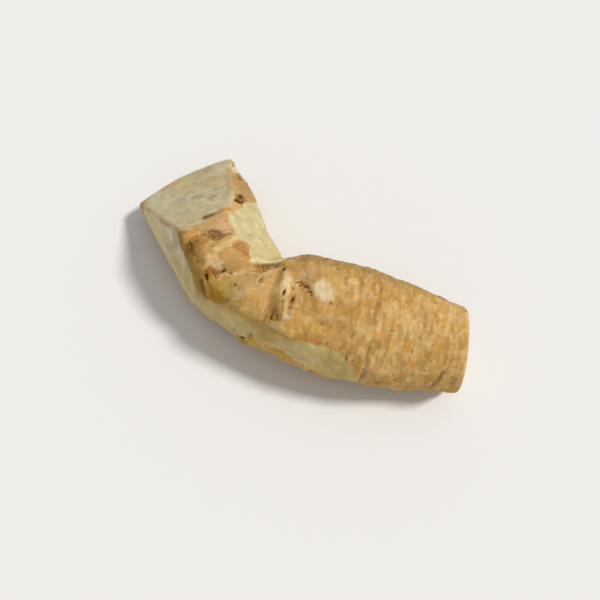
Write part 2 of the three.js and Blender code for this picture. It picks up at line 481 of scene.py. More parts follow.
# Holes, scars and slits: place, long and short way, turn, depth, lining and, on some, a rim.
HOLES = [
    ((-5.9, -13.4), 2.7, 1.3, 86, 1, 1, 0.15),  # slit at the head of the first ring
    ((-6.8, -10.8), 1.4, 1.1, 0, 0.4, 0.7),
    ((-13.4, -20.8), 3.4, 1.9, 84, 0.45, 0.42, 0.2),  # dimple by the dark hollow
    ((-35.2, -22.2), 3, 1.5, 108, 0.7, 0.9, 0.08),  # slit over the olive hollow
    ((-28.8, -19), 2.2, 1.5, 60, 0.5, 0.85),
    ((-25.9, -19.5), 1.8, 1.1, 20, 0.4, 0.75),
    ((-23.2, -23.8), 1.8, 1.4, 100, 0.4, 0.6, 0.1),
    ((-21.8, -25.8), 1.4, 1, 110, 0.25, 0.45),
    ((-44.6, -10.7), 2.4, 1.6, 140, 0.3, 0.6),  # reddish blotch at the outer edge
    ((-44.1, -12.2), 2, 1.2, 60, 0.25, 0.75),
    ((-43.2, -13.2), 1.4, 1, 0, 0.2, 0.65),
    ((-45.6, -11.2), 1.4, 0.8, 70, 0.15, 0.6),
    ((-42, -9.4), 1.6, 1, 150, 0.2, 0.6),
    ((-42.2, -14.4), 1.5, 1.1, 30, 0.2, 0.55),
    ((-40.4, -17), 1.8, 1.2, 60, 0.25, 0.55),
    ((-32.9, 1.6), 1.2, 1, 0, 0.25, 0.5),
    ((-31.5, 20.4), 4, 2.2, 100, 0.4, 0.8),  # brown hole on the shoulder
    ((-31.4, 17), 3.6, 2.6, 30, 0.8, 0.9),
    ((-29.7, 17.8), 2.8, 1.6, 110, 0.4, 0.65),
    ((-22.7, 0.4), 2, 0.8, 8, 0.2, 0.5),  # nicks in the slice
    ((-15.5, -0.9), 1.3, 0.8, 100, 0.2, 0.55),
    ((-18.6, 3.6), 0.9, 0.9, 0, 0.12, 0.4),
    ((-3.5, -24.7), 2.3, 1.2, 84, 0.6, 0.95),  # pits between the rings
    ((-3.1, -28.1), 1.6, 1, 70, 0.3, 0.6),
    ((0.5, -26.6), 3.2, 1.3, 84, 0.6, 0.95),
    ((-0.1, -30), 1.8, 1, 70, 0.3, 0.6),
    ((-5.4, -31.4), 2.4, 0.8, 86, 0.3, 0.62),
    ((-6, -34.4), 2, 1, 88, 0.35, 0.75),
    ((-3.8, -33.3), 1.4, 0.9, 30, 0.3, 0.65),
    ((-4.2, -34.6), 1.4, 0.7, 70, 0.3, 0.55),
    ((-5.5, -33), 1.2, 0.8, 0, 0.3, 0.65),
    ((-4.6, -32.2), 1, 0.6, 60, 0.2, 0.5),
    ((-6.4, -32.4), 1.2, 0.6, 90, 0.2, 0.5),
    ((-4.9, -28.4), 1.8, 0.9, 84, 0.25, 0.5),
    ((-8.6, -35.4), 2.6, 1.2, 80, 0.25, 0.45),
    ((15.1, -8.3), 1.9, 1.2, 0, 0.3, 0.6),  # single marks on the tail arm
    ((15, -25), 1.6, 1.2, 90, 0.3, 0.6),
    ((3.3, -14), 1.2, 1, 0, 0.2, 0.55),
    ((13.1, -33.2), 1.6, 1.4, 60, 0.3, 0.5),
    ((9.6, -3.4, 34), 3.4, 1.2, -8, 0.5, 0.8, 0.1),  # a flake near the top of the tail arm
    ((-16.2, -38.5, 17.3), 2.2, 1, -20, 0.6, 0.8, 0.3),  # end of the side root's stub
    ((-12.9, -38.6, 21), 3, 1.6, 0, 0.2, 0.5),
    ((-21, -36.2, 19.5), 3, 1.4, 0, 0.2, 0.4),
]
for hole in HOLES:
    pit(*hole)
crease([(-37.4, -23.6), (-36.6, -25.4), (-35.4, -27), (-34.4, -27.8)], 1.7, 0.5, 0.54, soft=0.9)
ridge([(-35.8, -23.4), (-34.6, -25.8), (-33, -27.6)], 0.9, 0.3)
crease([(-33.2, -19.6), (-32.2, -21), (-31.2, -22)], 0.9, 0.3)
crease([(-37.3, 35.7), (-36.3, 35.6), (-35.2, 34.8)], 0.9, 0.5, 0.95)
crease([(-36.6, 33.5), (-35.3, 33.6), (-33.9, 33)], 0.9, 0.5, 0.95)

# The eye-shaped scar on the crown arm: a shallow dish with dark folds in it.
scar = oval((-36.2, -5.7), (9.6, 5), 8, 0.5, points=R)
height -= 0.45 * scar
SCAR_FOLDS = [  # line, width, depth, lining
    ([(-38.4, -4.6), (-37.2, -3.9), (-35.6, -3.9), (-34.4, -4.1), (-33.5, -4.6)], 1.1, 0.35, 0.56),
    ([(-41.4, -6.3), (-39.4, -6.5), (-37.4, -7.3), (-35.2, -7.5), (-32.8, -6.1)], 0.9, 0.3, 0.5),
    ([(-37.9, -4.7), (-37, -5.9), (-35.9, -7.1)], 1.1, 0.3, 0.55),
    ([(-35.3, -4.2), (-35.7, -5.6), (-34.7, -6.6)], 1.1, 0.3, 0.5),
    ([(-36.9, -5.8), (-34.9, -5.6), (-33.6, -5.3)], 1.2, 0.3, 0.5),
    ([(-32.8, -4.9), (-30.9, -4), (-29.2, -2.6)], 1, 0.25, 0.6),
    ([(-38.2, -5), (-37.6, -5.8), (-37.8, -6.8)], 0.9, 0.25, 0.55),
    ([(-36.3, -4.4), (-36.6, -5.4), (-35.9, -6.6)], 0.9, 0.3, 0.6),
    ([(-34.8, -5), (-34.2, -5.9), (-33.4, -6)], 0.9, 0.25, 0.4),
    ([(-40.2, -6), (-39, -5.6)], 0.8, 0.15, 0.4),
]
for path, width, depth, lining in SCAR_FOLDS:
    crease(path, width, depth, lining, soft=0.8)
for x, y in [(1.4, -29.1), (0.1, -30.9), (1.2, -31.8), (0.3, -33.3), (-1.2, -33.6)]:
    height += 0.35 * oval((x, y), (1.8, 1.4), 70, 0.7, points=R)

# Fine cuts across the orange patch by the slice.
for shift in (0, 1.2, 2.3):
    crease([(-28 + shift, -8.4), (-25 + shift, -9.3), (-21.6 + shift, -10.6)], 0.55, 0.12, 0.42)
crease([(-28.9, -9), (-25.6, -10.5), (-22.2, -11.9)], 0.5, 0.1, 0.35)

# A chain of tiny holes, and the furrow that leads away from it.
CHAIN = [(0.7, -19, 1), (1.5, -18.4, 0.8), (1.9, -20.1, 1), (2.5, -18.4, 0.9), (3.1, -19.3, 0.9),
         (4, -20, 1.3), (4.7, -19.6, 0.8), (5.4, -20.2, 1.4), (5.9, -21.6, 1.1), (6.8, -23.2, 0.9),
         (6.5, -22.3, 0.7), (0.3, -20.9, 0.7), (-0.2, -22, 0.7), (4.6, -22.6, 0.6)]
for x, y, size in CHAIN:
    pit((x, y), 1.05 * size, 0.85 * size, 40 * x, 0.4, 1)
crease([(2.4, -18.6), (5.2, -20.2), (6.4, -22.8), (7.8, -25.6), (8.4, -29.5)], 2, 0.22, 0.14)

# Side-root scars, lenticels and short cross marks that follow the growth: a few in front, more
# on the back, the underside and the tail. The first LARGE of them are trimmed side roots.
draw = np.random.default_rng(SEED)
MARKS = 110
LARGE = 8
chance = skin * (1 - bare) * unseen * (Z > 1)
places = draw.choice(count, MARKS, replace=False, p=chance / chance.sum())
# Straight-root coordinates serve here, so that the marks run round the root.
RG = G + np.stack([0.4 * WANDER_FINE[:, 0], 0.9 * WANDER[:, 1], 0.9 * WANDER[:, 2]], 1)
for k, place in enumerate(places):
    large = k < LARGE
    wide = draw.uniform(3, 4.6) if large else draw.uniform(1, 2.8)
    tall = wide * (draw.uniform(0.65, 0.9) if large else draw.uniform(0.3, 0.6))
    depth = draw.uniform(0.3, 0.5) if large else draw.uniform(0.12, 0.4)
    tone = 0.35 if large else draw.uniform(0.25, 0.75)
    rel = RG - G[place]
    r = np.sqrt((rel[:, 0] / (tall / 2)) ** 2 + (rel[:, 1:] ** 2).sum(1) / (wide / 2) ** 2)
    mask = step(1.6, 0.4, r)
    height += 0.5 * depth * (step(2.3, 1.2, r) - mask).clip(0) - depth * mask
    dark = np.maximum(dark, tone * mask)

height *= 1 - on["rest"]
detail = height - blurred(height, 12)

# --- Colour, as it looks in plain light ---

coats = {
    "skin": np.tile(srgb(196, 156, 90), (count, 1)),
    "flesh": np.tile(srgb(198, 183, 142), (count, 1)),
}


def paint(mask, colour, strength=1, coat="skin"):
    amount = np.clip(mask * strength, 0, 1)[:, None]
    coats[coat] = coats[coat] * (1 - amount) + srgb(*colour) * amount


def dab(at, size, colour, strength, turn=0, **edge):
    """One oval of colour on the skin."""
    paint(oval(at, size, turn, **edge), colour, strength)


# Skin: tan, with clouds of pale, orange and olive brown. The back of the tail arm is browner, partly
# its own skin and partly painted shadow.
paint(clouds(0, 0.5, P, 9, 20, 3), (210, 172, 108), 0.75)
paint(clouds(0, -0.5, P, 9, 20, 3), (184, 141, 68), 0.8)
paint(clouds(0.05, 0.45, P, 5, 21, 3), (200, 145, 68), 0.65)
paint(clouds(0.1, 0.45, P, 4, 22, 3), (216, 182, 120), 0.6)
paint(clouds(0.15, 0.5, P, 3.4, 23, 3), (164, 123, 54), 0.55)
paint(clouds(0.1, 0.5, G, (2, 6.5, 6.5), 30), (218, 190, 136), 0.35)
paint(clouds(0.1, 0.5, G, (1.6, 7, 7), 31), (150, 110, 54), 0.35)
# Painted shadow and browner skin: the top of the tail arm's back is darkened.
back_brown_and_shade = step(-12, -5, Y) * step(-4, 4, X) * step(24, 30, Z)
paint(back_brown_and_shade, (158, 124, 64), 0.8)


def tint(mask, colour, strength=1):
    """Colours the flesh, as paint colours the skin."""
    paint(mask, colour, strength, coat="flesh")


# The cut faces. The crown arm's wall is pale, and the wall past the bend is yellower.
tint(clouds(0, 0.5, P, 11, 26, 3), (202, 179, 124), 0.7)
tint(clouds(0, -0.5, P, 8, 27, 3), (190, 180, 148), 0.7)
tint(clouds(0, 0.5, P, 5.5, 36, 3), (196, 170, 116), 0.6)
tint(clouds(0, 0.5, P, 4.5, 32, 3), (176, 164, 128), 0.55)
tint(clouds(0.1, 0.5, P, 3.4, 37, 3), (206, 198, 158), 0.6)
tint(walls, (222, 209, 172))
past_bend = step(-38, -24, X)
tint(walls * step(-6, -18, Y), (208, 188, 130), 0.7)
tint(walls * past_bend, (202, 172, 94), 0.95)
tint(walls * clouds(0, 0.4, G, (30, 7, 7), 24) * past_bend, (206, 184, 122), 0.6)
tint(walls * clouds(0, -0.5, G, (24, 5, 5), 25, 3), (196, 168, 104), 0.6)
drags = walls * clouds(0.05, 0.45, G, (16, 2.4, 2.4), 38, 3)
tint(drags, (180, 168, 134), 0.2 + 0.3 * past_bend)
drags = walls * clouds(0.05, 0.5, G, (14, 3, 3), 39, 3)
tint(drags, (186, 160, 80), 0.15 + 0.35 * past_bend)
tint(walls * past_bend * step(wall_top - 3, wall_top - 12, Z), (212, 194, 138), 0.5)
# Painted shade: the top of the wall past the bend is darkened olive, under the edge of the skin.
tint(walls * past_bend * step(wall_top - 5, wall_top - 1, Z), (176, 142, 60), 0.75)
tint(walls * (1 - past_bend) * step(-57, -62, X), (216, 198, 140), 0.6)
# Painted shade: an olive darkening along the top of the crown arm's wall, under the edge of the
# skin.
shade_under_skin_edge = walls * step(wall_top - 7, wall_top - 0.5, Z) * step(-48, -43, X)
tint(shade_under_skin_edge * (1 - past_bend), (172, 148, 82), 0.75)

# The knife's last stroke runs on past the flat of the wall and thins out.
LAST_STROKE = [(1, -39.6), (4.5, -39.9), (9.9, -40.2), (15, -40.3), (20, -41.2), (26, -43.2),
               (33, -46.4), (34, -52), (1, -52)]
past_wall = area(LAST_STROKE, soft=1, points=0.7 * P + 0.3 * Q)
past_wall *= step(strip_top - 1, strip_top + 1, Z) * step(0.7, 3, X)
tint(past_wall, (208, 186, 124), 0.85)
tint(past_wall * clouds(0, 0.4, G, (20, 3, 3), 40, 3), (190, 170, 124), 0.6)
tint(past_wall * step(26, 20, Z) * step(6, 14, X), (202, 172, 80), 0.7)
tint(past_wall * step(10, 22, X), (178, 152, 72), 0.6)

# The plain cut ends: a faint ring under the skin, a greyer heart, and rays between them.
RAYS = 34
PLAIN_ENDS = [(["tail"], in_tail, (75, -23, 18)), (CROWN_ENDS, in_ends, (-60, 30, 9))]
for names, inward, middle in PLAIN_ENDS:
    face = share_on(names)
    depth_in = inward + 0.5 * WANDER[:, 0]
    dx, dy, dz = (P - np.array(middle)).T
    bearing = np.arctan2(dz, np.hypot(dx, dy) * np.sign(dy))
    rays = 0.5 + 0.5 * np.sin(RAYS * bearing + 3 * WANDER[:, 1])
    tint(face * step(7, 11, depth_in), (190, 182, 148), 0.5)
    tint(face * rays * step(9.5, 4.5, depth_in), (206, 192, 142), 0.45)
    tint(face * step(0.8, 0, np.abs(depth_in - 3.6)), (172, 156, 100), 0.5)

CREAM = [(-29.3, 17.8), (-32.7, 9), (-32.6, 3.4), (-29, -1), (-26.5, -4.3), (-21.3, -5.1),
         (-20.1, -10), (-18.4, -12.8), (-16.5, -11.4), (-13.4, -10.1), (-10.3, -9.4), (-7.6, -9),
         (-5, -2), (-12, 12), (-22, 24)]
cream = area(CREAM, soft=0.7, low=8, points=0.6 * P + 0.4 * Q)
tint(cream, (192, 176, 129))
tint(cream * clouds(0, 0.5, P, 7, 28), (197, 178, 114), 0.7)
tint(cream * clouds(0, -0.5, P, 8, 29), (198, 185, 142), 0.7)
tint(cream * clouds(0.1, 0.5, P, 3, 33), (188, 168, 104), 0.5)
tint(cream * clouds(0.1, 0.5, G, (7, 3, 3), 41), (206, 194, 150), 0.6)
# Painted highlight: a bright band along the slice's lower end, lifting the shade of its rounded
# edge.
SLICE_END = [(-18.6, -12.2), (-16.5, -11.2), (-13.4, -9.9), (-10.3, -9.1), (-7.8, -8.8)]
tint(trail(SLICE_END, 2.6, soft=0.7), (228, 214, 164), 0.9)

# Skin below the pared wall of the tail arm, and over the outer edge of the crown arm a dark
# olive-brown band, partly the skin's own colour and partly painted shade where the edge rounds down
# to the wall.
paint(walls * step(26, 20, Z), (210, 167, 58), 0.85)
OUTER_EDGE = [(-50, -7.5), (-47, -12.5), (-44, -16.5), (-41, -20.5), (-39, -24)]
paint(trail(OUTER_EDGE, 7.5, soft=0.6, reach=12, points=Q), (152, 116, 52), 0.85)
paint(trail(OUTER_EDGE[2:], 4, soft=0.6, reach=9, points=Q), (166, 134, 56), 0.6)

PATCHES = [  # place, size, colour, strength and, on some, a turn
    ((-36.8, -1.2), (13, 8), (200, 158, 110), 0.85, 20),  # pinkish, above the scar
    ((-32.6, -2), (6, 4), (204, 164, 124), 0.8),
    ((-36, -5.6), (9, 4.4), (170, 134, 86), 0.85, 8),  # the scar
    ((-45.2, -7.6), (6, 4.6), (216, 158, 88), 0.95, 60),
    ((-41.5, -9.8), (8, 5), (166, 122, 48), 0.75, 20),
    ((-44, -12.2), (5.6, 4.6), (134, 98, 44), 0.85),
    ((-40.5, -15.5), (9, 8), (164, 124, 60), 0.75, 60),
    ((-36, -12.5), (7, 5), (196, 150, 92), 0.6, 20),
    ((-24, -8.2), (9, 5.6), (177, 126, 64), 0.9, -28),  # orange, next to the slice
    ((-32, -17), (9, 4.6), (204, 176, 132), 0.85, 10),  # whitish crust
    ((-27.8, -17), (4.6, 2.8), (152, 128, 78), 0.85),
    ((-28.8, -19.2), (4.4, 3), (142, 106, 52), 0.7),
    ((-35, -21.9), (3.6, 5), (146, 96, 30), 0.9, 10),
    ((5.4, -20.8), (5.4, 3.4), (152, 114, 56), 0.7, -20),
    ((0.2, -27.4), (2.8, 7), (166, 124, 64), 0.65),
    ((-32.8, -19.6), (5.4, 3.6), (166, 102, 30), 0.85),
    ((-34.4, -20.6), (2.6, 2.2), (170, 104, 44), 0.6),
    ((-32, -13.4), (1.6, 1.3), (184, 124, 58), 0.7),
    ((-30.6, -13.9), (1.8, 1.4), (190, 134, 62), 0.7),
    ((-28, -12.6), (11, 6), (194, 152, 86), 0.6, -10),
    ((-23.2, -14), (8, 4), (190, 150, 90), 0.6, -20),
    ((-20.5, -21.5), (11, 7), (206, 168, 106), 0.8, -5),  # the lobe
    ((-21.4, -27.6), (6.4, 4.2), (205, 178, 138), 0.8, 20),
    ((-16.4, -26.2), (6, 4.4), (212, 180, 124), 0.7, 20),
    ((-14, -29), (9, 9), (212, 167, 94), 0.75),
    ((-11.8, -18.2), (3.6, 2.8), (176, 142, 104), 0.75),
    ((-13.4, -20.8), (4.4, 3.2), (208, 180, 118), 0.6, 84),
    ((-13.4, -20.8), (2.8, 1.4), (146, 118, 60), 0.8, 84),
    ((-9.4, -15.6), (4.4, 5), (204, 166, 112), 0.6),
    ((-4.6, -17.4), (6, 2.6), (214, 192, 146), 0.7, 86),  # pale crest
    ((-5, -23.4), (3, 3.8), (210, 182, 132), 0.75),
    ((-3.2, -13.8), (4.4, 3.4), (176, 136, 78), 0.75),
    ((0.4, -18.6), (4.2, 3.4), (184, 146, 88), 0.7),
    ((-20.1, -13.8), (5.4, 3), (172, 132, 78), 0.8, -20),
    ((-24.8, -15.4), (5.4, 2.8), (170, 132, 70), 0.75, -20),
    ((-34.6, -14.6), (5.4, 3.6), (224, 188, 130), 0.75, 10),
    ((-23.6, -27.4), (6, 4.6), (220, 184, 116), 0.9),
    ((-10.6, -24), (5, 4.4), (214, 176, 116), 0.75),
    ((-9.2, -34.4), (6, 3.4), (214, 166, 84), 0.85),
    ((-2.8, -36.2), (3.4, 2.2), (208, 168, 110), 0.7),
    ((6.7, -27.9), (5, 4), (184, 142, 80), 0.6),
    ((-2, -34.2), (2.6, 2.4), (184, 142, 92), 0.6),
    ((-3.8, -20.4), (5.2, 4.2), (220, 202, 158), 0.9, 80),
    ((-1.4, -20.2), (3.6, 2.6), (196, 168, 118), 0.6, 60),
    ((-3.4, -27.6), (4.4, 1.8), (190, 150, 88), 0.6, 84),
    ((-2.4, -25), (5.6, 1.3), (216, 194, 148), 0.7, 76),
    ((-4.4, -30), (5, 2.8), (184, 144, 80), 0.7, 86),
    ((-5.2, -33), (4.6, 5.6), (148, 110, 52), 0.75),
    ((0.6, -31.8), (4.6, 2.6), (188, 150, 112), 0.85, 80),
    ((0.2, -33.4), (1.2, 1), (222, 204, 176), 0.8),
    ((-3.6, -36.6), (5, 2.8), (208, 174, 116), 0.8),
    ((0.6, -35.2), (4, 1.8), (196, 132, 68), 0.8),
    ((-8.8, -36), (2.4, 2), (158, 126, 44), 0.7, 80),
    ((-16, -38.6, 16), (5, 4), (160, 134, 36), 0.85),
    ((12.8, -22.2), (6.4, 3.2), (216, 190, 150), 0.85, -35),
    ((3.2, -14.2), (5, 2.8), (200, 158, 124), 0.75),
    ((0.6, -11.8), (8, 5), (178, 144, 90), 0.6, 10),
    ((4.8, -16.6), (6.5, 3), (178, 148, 96), 0.7),
    ((7.2, -14), (7, 5), (174, 138, 82), 0.85),
    ((5.6, -18.2), (5, 3.6), (158, 124, 68), 0.8, -30),
    ((14, -13.5), (8, 7), (200, 160, 84), 0.6),
    ((11, -10.5), (14, 6), (184, 146, 88), 0.5),
    ((11, -28), (9, 7), (200, 150, 82), 0.6),
    ((14.5, -30.5), (5, 4), (208, 168, 116), 0.5),
    ((12.5, -35.5), (12, 5), (206, 160, 80), 0.7),
    ((4.5, -34), (9, 5), (208, 162, 84), 0.7, 20),
    ((7, -39), (9, 1.8), (186, 130, 52), 0.8, -4),
    ((13.5, -39.3), (7, 1.7), (180, 126, 52), 0.75, -4),
    ((1.2, -38.3), (8.6, 3.2), (226, 188, 96), 0.9, -6),
    ((2.6, -23.8), (6, 5), (198, 158, 98), 0.6),
    ((5.9, -23.4), (3.6, 7), (168, 130, 70), 0.7, 15),
    ((-31.2, 17.8), (6.4, 8), (126, 88, 34), 0.85, 10),
    ((-36, 30.5), (8, 5), (168, 124, 68), 0.6, 100),
    ((-38.3, 38.4), (2.4, 4), (216, 196, 156), 0.8),
    ((-35.2, 3), (5.6, 3.4), (186, 146, 94), 0.6),
    ((-47.2, -4.4), (4.4, 3.2), (216, 188, 138), 0.7),
    ((-15.2, -33.8), (6, 4), (216, 180, 104), 0.6),
    ((-9.2, -35.2), (6, 2.4), (220, 180, 104), 0.6),
    ((-8.5, -33), (2.6, 3), (214, 168, 96), 0.6),
    ((-3.8, -22.8), (3.4, 3), (224, 202, 156), 0.6),
    ((-1.2, -34.2), (2, 2), (178, 138, 92), 0.6),
    ((-11.8, -18.8), (3.4, 2.6), (178, 146, 104), 0.6),
    ((-3.2, -13.6), (3.4, 2.6), (168, 130, 76), 0.6),
    ((0.2, -5.6), (6, 3.2), (156, 124, 70), 0.8),
    ((-17.8, -31.6), (4, 3), (190, 150, 76), 0.6),
    ((8.9, -29.8), (4.4, 4), (180, 138, 72), 0.6),
    ((7.9, -33), (5, 3), (222, 182, 114), 0.6),
    ((-32, 24.2), (5, 7), (164, 132, 88), 0.45, 20),
    ((-5, -28.2), (2.6, 3.6), (172, 132, 68), 0.5),
    ((-2.8, -37.4), (4.4, 2), (226, 192, 128), 0.7),
    ((-33.6, 12), (3.4, 3), (188, 158, 112), 0.6),
]
SHOULDER = [(-41, 42), (-33.5, 13), (-29.3, 17.8), (-22, 24), (-28, 34), (-36, 44)]
paint(area(SHOULDER, low=10), (165, 134, 84), 0.85)
SHOULDER_EDGE = [(-40, 40), (-37.6, 33), (-36, 27), (-34, 22.3), (-32.8, 18.4)]
paint(trail(SHOULDER_EDGE, 3.4, soft=0.8, points=Q), (184, 160, 112), 0.75)
for patch in PATCHES:
    dab(*patch)

CUT_PATCHES = [
    ((-73.5, 12.2, 13), (6.5, 6), (176, 136, 82), 0.9),  # browned tip of the crown end
    ((-64.3, 24.5, 12.5), (8.5, 4), (192, 160, 106), 0.7, 40),
    ((-46.3, 27.8, 20.6), (13, 8), (196, 168, 116), 0.75, 20),
    ((-55.8, 26.5, 15), (8, 5), (194, 176, 114), 0.7, 20),
    ((-49.4, 17.2, 24), (6, 3.6), (172, 160, 126), 0.7, 10),
    ((-66, 12.5, 17), (13, 7), (200, 192, 156), 0.7, 10),
    ((-41, 12.6, 30.2), (8, 3.4), (206, 198, 156), 0.8),
    ((-49.5, 5, 30), (12, 5), (194, 178, 128), 0.6),
    ((-50.3, 8, 28), (4, 3), (194, 166, 136), 0.6),
    ((-42.6, 16.5, 28), (5, 1.7), (172, 138, 100), 0.75, 20),
    ((-47.3, 29, 19.5), (5, 4), (178, 170, 130), 0.5),
    ((-42.6, 22.8, 25), (1.3, 1.1), (140, 120, 84), 0.8),
    ((-36.6, 16.5, 30.5), (1.6, 1), (160, 140, 100), 0.7),
    ((-43.6, 34.5, 17.5), (8, 4), (204, 188, 152), 0.8, 110),  # paler by the inner corner
    ((-51.9, -6.8, 30), (7, 4), (172, 160, 120), 0.8, 120),
    ((-47.2, -4.6, 35), (5, 2.6), (214, 194, 150), 0.8, 20),
    ((-56.8, 7, 25), (9, 6), (184, 176, 138), 0.7, 40),
    ((-49.6, 12, 27), (7, 4), (184, 174, 138), 0.7, 20),
    ((-46.7, 29.7, 19.5), (5, 4), (176, 162, 118), 0.7, 20),
    ((-44, -18.6, 22), (5, 6), (188, 172, 110), 0.7, 20),
    ((-50.5, 27, 18.5), (7, 5), (182, 172, 134), 0.6, 30),
    ((-57, 14, 22), (9, 5), (186, 174, 142), 0.6, 20),
    ((-48, 21, 24), (6, 5), (196, 180, 142), 0.6, 20),
    ((-6.7, -39.3, 28), (10, 3), (172, 136, 58), 0.55),
    ((-9.5, -3.8, 25.7), (5, 5), (184, 156, 98), 0.6),
    ((-34.6, 14.6, 31), (4, 4), (184, 164, 116), 0.6),
    ((-35.4, 20.5, 28), (4, 7), (174, 150, 94), 0.6),
    ((-52, 36, 14), (9, 5), (178, 158, 110), 0.6, 40),
]
for at, size, colour, strength, *turn in CUT_PATCHES:
    tint(oval(at, size, *turn, reach=12), colour, strength)
INNER_EDGE = [(-39.6, 36), (-38.1, 28.6), (-36.9, 23.9)]
tint(trail(INNER_EDGE, 3.4, soft=0.8, points=Q), (176, 148, 92), 0.75)

# The slanted face's lower edge: skin with an olive streak that turns orange, up to the hole.
EDGE_SKIN = [(-41.4, 2.4), (-38.6, 4.2), (-35.6, 6.4), (-33, 8.8), (-31.6, 11.5), (-31, 15)]
edge_skin = trail(EDGE_SKIN, 3.2, soft=0.7, points=HALFWAY)
paint(edge_skin, (194, 152, 100), 0.85)
paint(trail(EDGE_SKIN[1:4], 1.4, soft=0.8, points=HALFWAY), (166, 122, 66), 0.7)
OLIVE_STREAK = [(-42.2, 2.2), (-40.8, 2.8), (-39.6, 3.6)]
paint(trail(OLIVE_STREAK, 2.6, soft=0.8, points=HALFWAY), (106, 82, 34), 0.95)
dab((-32.2, 12.6), (4.6, 5), (198, 166, 112), 0.7, soft=0.7)
EDGE_STREAK = [(-61.4, 2.2, 24.9), (-58.5, -0.2, 27.4), (-56, -1.8, 29.6)]
tint(trail(EDGE_STREAK, 1.6, soft=0.8), (182, 138, 104), 0.7)

# The brown furrow that leads away from the chain, and a pale window in the skin beside it.
FURROW = [(7.6, -22.6), (8.6, -25.2), (8.8, -27.8), (10.6, -28.4)]
paint(trail(FURROW, 2.2, soft=0.9), (160, 114, 58), 0.6)
dab((12, -23.7), (6.4, 3), (226, 194, 158), 0.85, -15, soft=0.7)
dab((10.8, -19.6), (7.8, 6.4), (222, 205, 162), 1, -38, soft=0.65)

# The olive hollow on the outside of the bend, paler at its inner end.
dab((-28.8, -26.2, 30), (13, 9), (186, 150, 62), 0.95, -12, soft=0.5, reach=10)
dab((-29, -28.2, 29), (9.6, 4.8), (160, 114, 20), 0.9, -12, soft=0.7, reach=9)
dab((-26.2, -23.8, 32), (5, 3.4), (190, 162, 96), 0.7, soft=0.6)
dab((-24, -27), (4.4, 3.6), (222, 186, 112), 0.6, soft=0.7)

# A pale line along the lobe's rim, a painted highlight where the rim catches the light; pale lines
# along the ridge by the slice; and the crumbs under the slit.
paint(trail(LOBE_RIM[1:6], 1.3), (212, 176, 128), 0.7)
paint(trail(RIDGE_LINE, 2.6, soft=0.9, points=Q), (216, 186, 128), 0.85)
dab((-34.6, -25.6), (4.6, 7), (146, 112, 24), 0.85, 10, soft=0.7)
paint(trail([(-35.8, -23.2), (-34.6, -25.8), (-33, -27.6)], 0.8), (190, 152, 84), 0.6)

# The rings, the first with a paler stretch, a smudge on the lobe's rim, and the hollow under the
# fold, painted dark brown as shade, with painted light at its right end.
paint(trail(RING_ONE, 2.8, soft=0.8), (166, 126, 64), 0.75)
dab((-6.2, -23.4), (2.8, 3.6), (208, 174, 120), 0.6, soft=0.7)
dab((-25.8, -20.5), (3.6, 2.4), (176, 138, 80), 0.6, soft=0.7)
paint(trail(CREST, 1), (212, 186, 138), 0.6)
# Painted shade: the hollow under the fold is painted dark brown.
paint(under_fold, (152, 114, 52), 0.95)
# Painted light: the hollow's right end is painted pale, to lift the shadow that the sunk surface
# falls into.
paint(under_fold * step(-12.5, -9.5, X), (250, 222, 170), 0.95)
paint(under_fold * step(0, 0.35, np.sin(2.6 * (X + 0.7 * Y))), (184, 146, 84), 0.7)

# Where the cuts have bared the flesh. Skin is left along their edges. The knife ran on past the
# edge of the slanted face, over the rounded shoulder.
OVER_SHOULDER = [(-46, 45), (-40.9, 41.7), (-38.6, 34), (-36.9, 27.2), (-35, 22.3),
                 (-33.6, 18.4), (-33, 15), (-33, 12.2), (-34, 9.8), (-36.6, 9), (-46, 20)]
over_shoulder = area(OVER_SHOULDER, soft=1.5, low=15, points=HALFWAY)
flesh = np.clip(np.maximum(flesh_walls + flesh_across, np.maximum(cream, over_shoulder)), 0, 1)
flesh = np.maximum(flesh, past_wall)
left_on = np.zeros(count)
for inward, names in ((in_slant, ["crown_slant"]), (in_ends, CROWN_ENDS), (in_tail, ["tail"])):
    left_on += share_on(names, 2) * step(1.3, 0.2, inward + 0.8 * WANDER[:, 0])
beside_wall = step(0.02, 0.25, blurred(walls, 8))
flesh *= 1 - 0.5 * np.clip(left_on, 0, 1) * (1 - beside_wall) * (1 - over_shoulder)
flesh *= 1 - np.clip(1.1 * edge_skin, 0, 1)

soft_side = step(-37, -41, X) * step(0.02, 0.4, blurred(walls, 16)) * (1 - flesh_across)
flesh += soft_side * (blurred(flesh, 14) - flesh)

# Relief colours itself: the ring grooves and other hollows are painted darker brown as shade, and
# crests are painted paler as highlight.
paint(grooves, (138, 98, 44), 0.6)
sunk_shade = step(0.03, 0.35, -detail) * rough_skin
proud_highlight = step(0.04, 0.3, detail) * rough_skin
paint(sunk_shade, (140, 100, 46), 0.45)
paint(proud_highlight, (216, 184, 128), 0.35)

# Where white corky crumbs and dark flecks lie thick.
CRUMBS = [  # place, size, how thick and, on some, a turn
    ((-32.8, -17), (7.4, 4), 0.7, 10),
    ((-28.4, -20.8), (5, 1.8), 1, 10),
    ((-27.4, -5.4), (3.6, 2.6), 0.9, 40),
    ((-25.8, -3.6), (3, 2.2), 0.9),
    ((-21.8, -27.8), (6, 4.4), 0.45, 20),
    ((-16.4, -26.4), (5, 3), 0.5, 20),
    ((-4.2, -20), (9, 3), 0.5, 82),
    ((0.7, -31.6), (5.6, 2.8), 0.5, 78),
    ((-3.6, -36.8), (5.4, 2.8), 0.45),
    ((-11.8, -18), (3.6, 2.8), 0.7),
    ((-36.2, -6), (7, 3.6), 0.45, 8),
    ((11.4, -20.4), (9, 6), 0.55, -30),
    ((-38.3, 38.4), (3.4, 4.6), 0.8),
    ((3.2, -14.2), (5, 2.6), 0.5),
]
